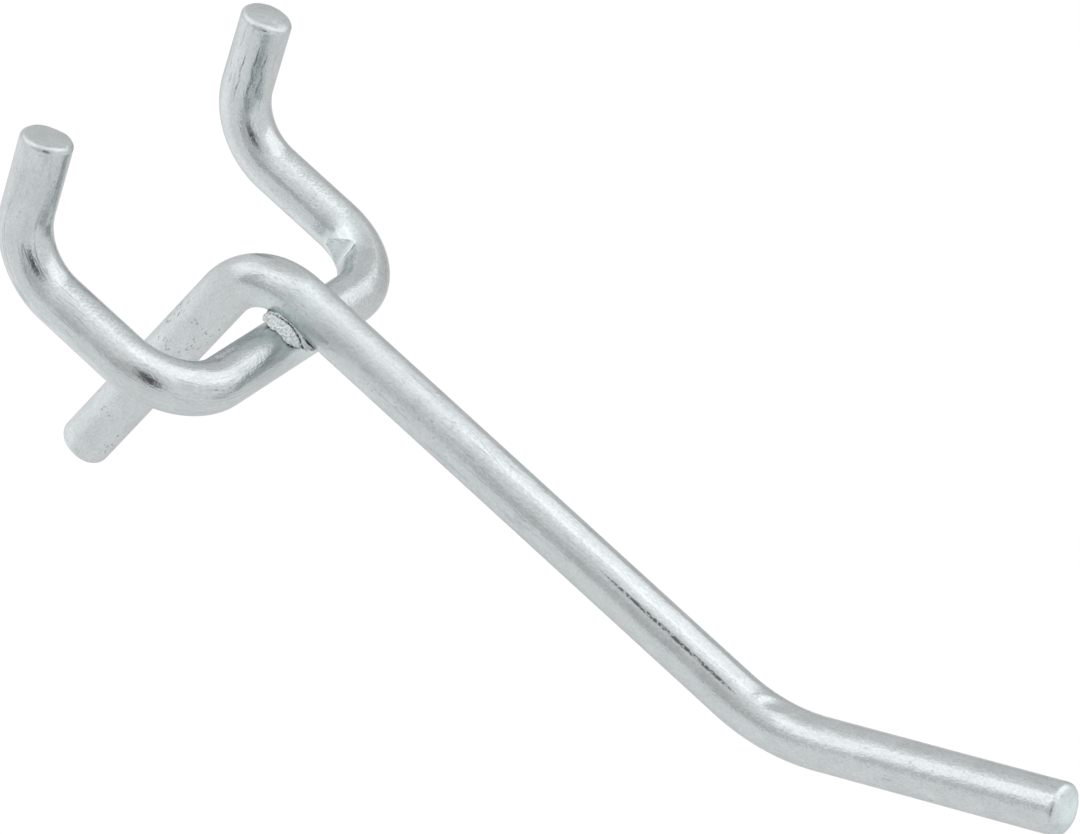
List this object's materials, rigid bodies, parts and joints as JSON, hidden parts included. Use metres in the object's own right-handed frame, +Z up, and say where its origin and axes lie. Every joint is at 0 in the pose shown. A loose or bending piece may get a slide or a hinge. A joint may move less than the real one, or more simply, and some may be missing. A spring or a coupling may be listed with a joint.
{
  "type": "pegboard hook",
  "caption": "Welded wire hook for pegboard: upturned prongs pass through the board, a leg braces on its face, and a sloping arm with an upturned end holds tools.",
  "frame": {"origin": "on the board's front face, midway between the two holes, where the axes of the prongs meet the face", "axes": "+X along the row of holes, +Y into the board, +Z up; the arm reaches towards -Y"},
  "size_m": [0.0288, 0.0753, 0.0428],
  "materials": {
    "zinc_plate": "satin zinc plate over drawn steel wire",
    "weld_metal": "rough squeezed-out weld metal, plated with the rest"
  },
  "bodies": {
    "root": {"prong_wire": "zinc_plate", "hook_wire": "zinc_plate", "weld_flash": "weld_metal"}
  },
  "joints": []
}
